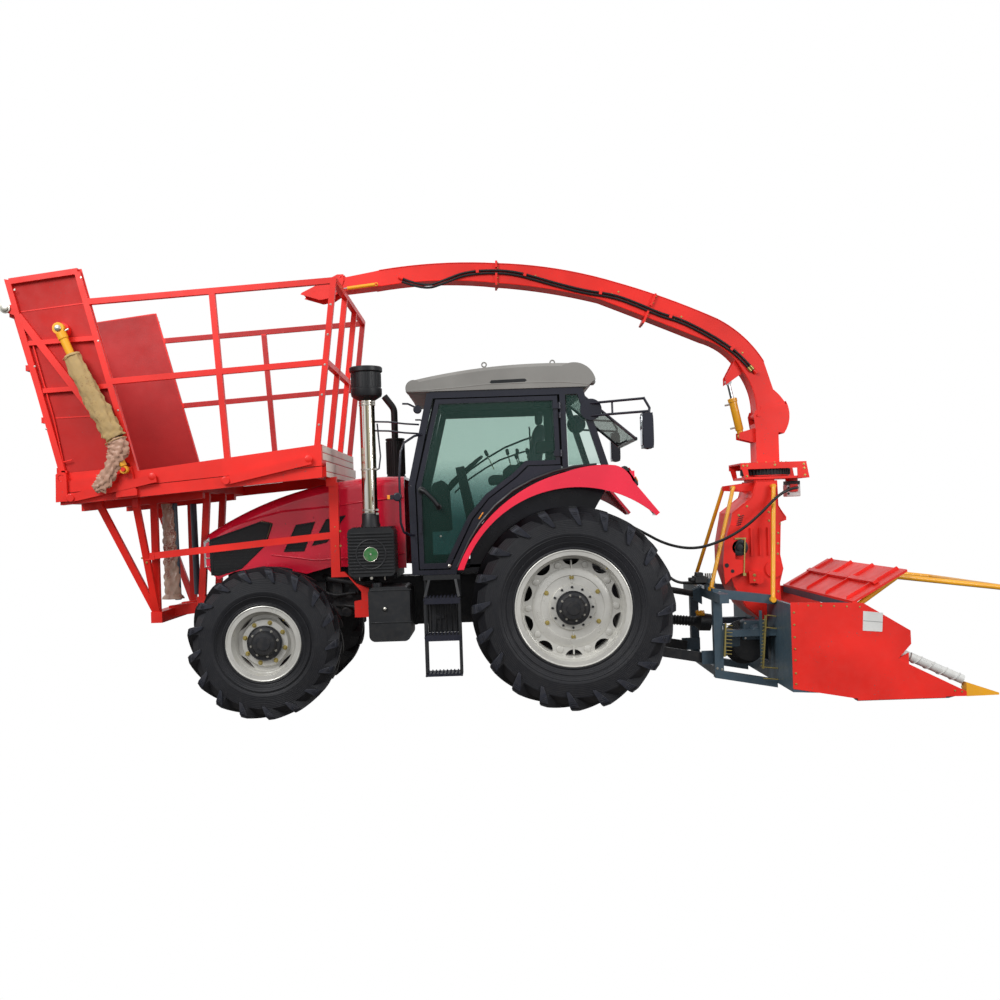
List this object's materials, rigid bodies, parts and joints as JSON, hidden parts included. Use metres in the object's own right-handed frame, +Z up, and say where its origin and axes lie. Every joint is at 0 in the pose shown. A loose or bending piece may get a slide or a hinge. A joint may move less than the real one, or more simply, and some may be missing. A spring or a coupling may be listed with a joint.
{
  "type": "forage harvester",
  "caption": "Reverse-drive farm tractor with a rear row-independent header, chopper and gooseneck spout feeding a tipping bin over its bonnet.",
  "frame": {"origin": "middle of the machine's bounding box, on the ground", "axes": "+X to the header, -Y to the tractor's left, +Z up"},
  "size_m": [8.66, 2.5, 4.0963],
  "materials": {
    "machine_red": "orange-red paint with dust and chips",
    "tractor_red": "gloss crimson paint",
    "frame_grey": "slate grey paint",
    "chassis_grey": "dark grey chassis paint",
    "engine_iron": "dark painted iron",
    "tyre_rubber": "dusty black tyre rubber",
    "wheel_silver": "cream silver wheel paint",
    "cab_black": "satin black",
    "roof_beige": "grey-beige moulded roof",
    "tinted_glass": "green tinted glass",
    "black_plastic": "moulded black plastic",
    "stack_chrome": "polished chrome",
    "exhaust_steel": "heat-dulled steel",
    "safety_yellow": "yellow-orange paint",
    "rod_chrome": "hard chrome rod",
    "auger_white": "white paint",
    "hose_black": "black hydraulic hose"
  },
  "bodies": {
    "chassis": {"bin_deck": "machine_red", "bin_support": "machine_red", "cab_frame": "cab_black", "cab_glass": "tinted_glass", "cab_roof": "roof_beige", "chopper_housing": "machine_red", "chopper_stays": "safety_yellow", "divider_tips": "safety_yellow", "driver_station": "black_plastic", "engine_block": "engine_iron", "exhaust_stack": "exhaust_steel", "fenders": "tractor_red", "filter_box": "black_plastic", "front_axle": "chassis_grey", "front_support": "chassis_grey", "harvester_frame": "frame_grey", "header_body": "frame_grey", "header_shields": "machine_red", "hitch_links": "chassis_grey", "hood": "tractor_red", "hood_grilles": "black_plastic", "hose_loop": "hose_black", "hose_slew": "hose_black", "intake_stack": "stack_chrome", "mirrors": "cab_black", "push_bar": "safety_yellow", "side_tanks": "black_plastic", "steps": "black_plastic", "transmission": "chassis_grey"},
    "knuckle_l": {"knuckle_left": "chassis_grey"},
    "knuckle_r": {"knuckle_right": "chassis_grey"},
    "wheel_front_left": {"tyre_front_left": "tyre_rubber", "rim_front_left": "wheel_silver"},
    "wheel_front_right": {"tyre_front_right": "tyre_rubber", "rim_front_right": "wheel_silver"},
    "wheel_rear_left": {"tyre_rear_left": "tyre_rubber", "rim_rear_left": "wheel_silver"},
    "wheel_rear_right": {"tyre_rear_right": "tyre_rubber", "rim_rear_right": "wheel_silver"},
    "left_door": {"door_left": "cab_black", "door_glass_left": "tinted_glass"},
    "right_door": {"door_right": "cab_black", "door_glass_right": "tinted_glass"},
    "bin": {"bin_floor": "machine_red", "bin_frame": "machine_red"},
    "gate": {"bin_gate": "machine_red"},
    "tip_barrels": {"tip_cylinder_barrel": "safety_yellow"},
    "tip_rods": {"tip_cylinder_rod": "rod_chrome"},
    "spout_turret": {"turret": "machine_red"},
    "spout_boom": {"spout": "machine_red", "hose_spout": "hose_black"},
    "flap": {"spout_flap": "machine_red"},
    "lift_barrel": {"lift_cylinder_barrel": "safety_yellow"},
    "lift_rod": {"lift_cylinder_rod": "rod_chrome"},
    "flap_barrel": {"flap_cylinder_barrel": "safety_yellow"},
    "flap_rod": {"flap_cylinder_rod": "rod_chrome"},
    "drum_l": {"header_drum_left": "frame_grey"},
    "drum_r": {"header_drum_right": "frame_grey"},
    "auger_l": {"divider_auger_left": "auger_white"},
    "auger_r": {"divider_auger_right": "auger_white"}
  },
  "joints": [
    {"name": "steer_left", "type": "hinge", "parent": "chassis", "child": "knuckle_l", "pos_m": [-2.23, -0.64, 0.655], "axis": [0, 0, 1], "range_deg": [-38, 38]},
    {"name": "steer_right", "type": "hinge", "parent": "chassis", "child": "knuckle_r", "pos_m": [-2.23, 0.64, 0.655], "axis": [0, 0, 1], "range_deg": [-38, 38]},
    {"name": "front_left_roll", "type": "hinge", "parent": "knuckle_l", "child": "wheel_front_left", "pos_m": [-2.23, -0.86, 0.655], "axis": [0, 1, 0], "continuous": true},
    {"name": "front_right_roll", "type": "hinge", "parent": "knuckle_r", "child": "wheel_front_right", "pos_m": [-2.23, 0.86, 0.655], "axis": [0, 1, 0], "continuous": true},
    {"name": "rear_left_roll", "type": "hinge", "parent": "chassis", "child": "wheel_rear_left", "pos_m": [0.45, -0.867, 0.875], "axis": [0, 1, 0], "continuous": true},
    {"name": "rear_right_roll", "type": "hinge", "parent": "chassis", "child": "wheel_rear_right", "pos_m": [0.45, 0.867, 0.875], "axis": [0, 1, 0], "continuous": true},
    {"name": "door_left_swing", "type": "hinge", "parent": "chassis", "child": "left_door", "pos_m": [0.402, -0.806, 2.4], "axis": [0, 0, 1], "range_deg": [0, 70]},
    {"name": "door_right_swing", "type": "hinge", "parent": "chassis", "child": "right_door", "pos_m": [0.402, 0.806, 2.4], "axis": [0, 0, -1], "range_deg": [0, 70]},
    {"name": "bin_tip", "type": "hinge", "parent": "chassis", "child": "bin", "pos_m": [-3.885, 0, 2.137], "axis": [0, -1, 0], "range_deg": [0, 45]},
    {"name": "gate_swing", "type": "hinge", "parent": "bin", "child": "gate", "pos_m": [-4.302, 0, 3.595], "axis": [0, 1, 0], "range_deg": [0, 60]},
    {"name": "tip_barrel_swing", "type": "hinge", "parent": "chassis", "child": "tip_barrels", "pos_m": [-3.325, 0, 2.188], "axis": [0, -1, 0], "range_deg": [0, 40]},
    {"name": "tip_rod_slide", "type": "slide", "parent": "tip_barrels", "child": "tip_rods", "axis": [-0.3908, 0, 0.9205], "range_m": [0, 0.36]},
    {"name": "spout_slew", "type": "hinge", "parent": "chassis", "child": "spout_turret", "pos_m": [2.4, 0, 2.043], "axis": [0, 0, 1], "range_deg": [-100, 100]},
    {"name": "spout_lift", "type": "hinge", "parent": "spout_turret", "child": "spout_boom", "pos_m": [2.323, 0, 2.553], "axis": [0, 1, 0], "range_deg": [0, 30]},
    {"name": "lift_barrel_swing", "type": "hinge", "parent": "spout_turret", "child": "lift_barrel", "pos_m": [2.182, 0, 2.372], "axis": [0, 1, 0], "range_deg": [0, 22]},
    {"name": "lift_rod_slide", "type": "slide", "parent": "lift_barrel", "child": "lift_rod", "axis": [-0.2015, 0, 0.9795], "range_m": [0, 0.08]},
    {"name": "flap_tilt", "type": "hinge", "parent": "spout_boom", "child": "flap", "pos_m": [-1.582, 0, 4], "axis": [0, 1, 0], "range_deg": [0, 45]},
    {"name": "flap_barrel_swing", "type": "hinge", "parent": "spout_boom", "child": "flap_barrel", "pos_m": [-1.24, -0.15, 3.905], "axis": [0, 1, 0], "range_deg": [0, 10]},
    {"name": "flap_rod_slide", "type": "slide", "parent": "flap_barrel", "child": "flap_rod", "axis": [-0.9945, 0, -0.1047], "range_m": [0, 0.09]},
    {"name": "drum_left_spin", "type": "hinge", "parent": "chassis", "child": "drum_l", "pos_m": [2.74, -0.54, 0.375], "axis": [0, 0, 1], "continuous": true},
    {"name": "drum_right_spin", "type": "hinge", "parent": "chassis", "child": "drum_r", "pos_m": [2.74, 0.54, 0.375], "axis": [0, 0, 1], "continuous": true},
    {"name": "auger_left_spin", "type": "hinge", "parent": "chassis", "child": "auger_l", "pos_m": [3.25, -1.04, 0.4], "axis": [0.905, 0, -0.4254], "continuous": true},
    {"name": "auger_right_spin", "type": "hinge", "parent": "chassis", "child": "auger_r", "pos_m": [3.25, 1.04, 0.4], "axis": [0.905, 0, -0.4254], "continuous": true}
  ],
  "couplings": [
    {"joint": "steer_right", "follows": "steer_left", "ratio": 1},
    {"joint": "tip_barrel_swing", "follows": "bin_tip", "ratio": 0.787},
    {"joint": "tip_rod_slide", "follows": "bin_tip", "m_per_rad": 0.4477},
    {"joint": "spout_lift", "follows": "bin_tip", "ratio": 0.65},
    {"joint": "lift_barrel_swing", "follows": "bin_tip", "ratio": 0.449},
    {"joint": "lift_rod_slide", "follows": "bin_tip", "m_per_rad": 0.0942},
    {"joint": "flap_barrel_swing", "follows": "flap_tilt", "ratio": 0.204},
    {"joint": "flap_rod_slide", "follows": "flap_tilt", "m_per_rad": 0.1056}
  ]
}
